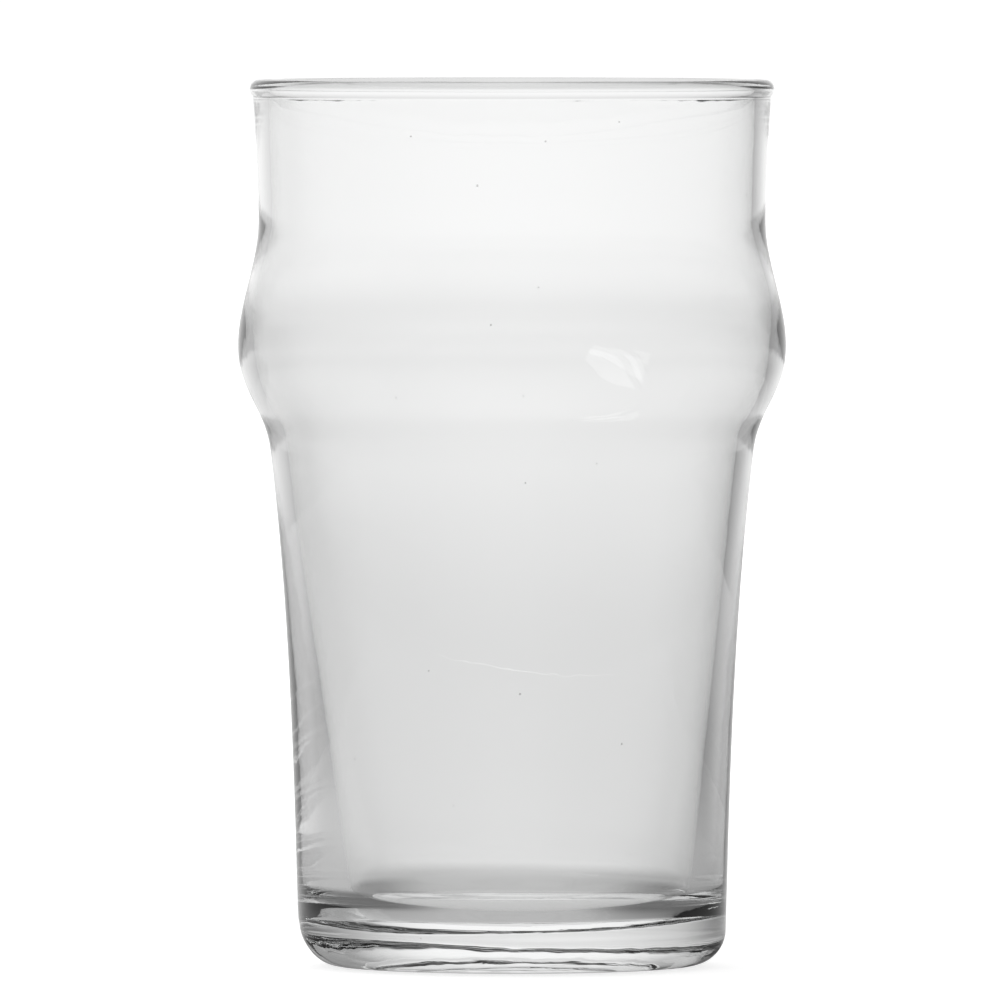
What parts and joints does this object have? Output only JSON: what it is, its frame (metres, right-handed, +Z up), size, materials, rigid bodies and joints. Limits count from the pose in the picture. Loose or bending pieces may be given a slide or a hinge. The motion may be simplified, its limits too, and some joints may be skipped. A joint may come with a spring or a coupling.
{
  "type": "pint glass",
  "caption": "Clear pint beer glass with a tapered body, a grip bulge below the rim, a rounded rim bead and a thick flat base.",
  "frame": {"origin": "centre of the ring the glass stands on, at the height of the table", "axes": "+Z up along the glass's axis, from the base to the rim; the glass is round, so X and Y have no preferred direction"},
  "size_m": [0.091, 0.091, 0.147],
  "materials": {
    "clear_glass": "clear, fire-polished and glossy"
  },
  "bodies": {
    "root": {"glass_body": "clear_glass"}
  },
  "joints": []
}
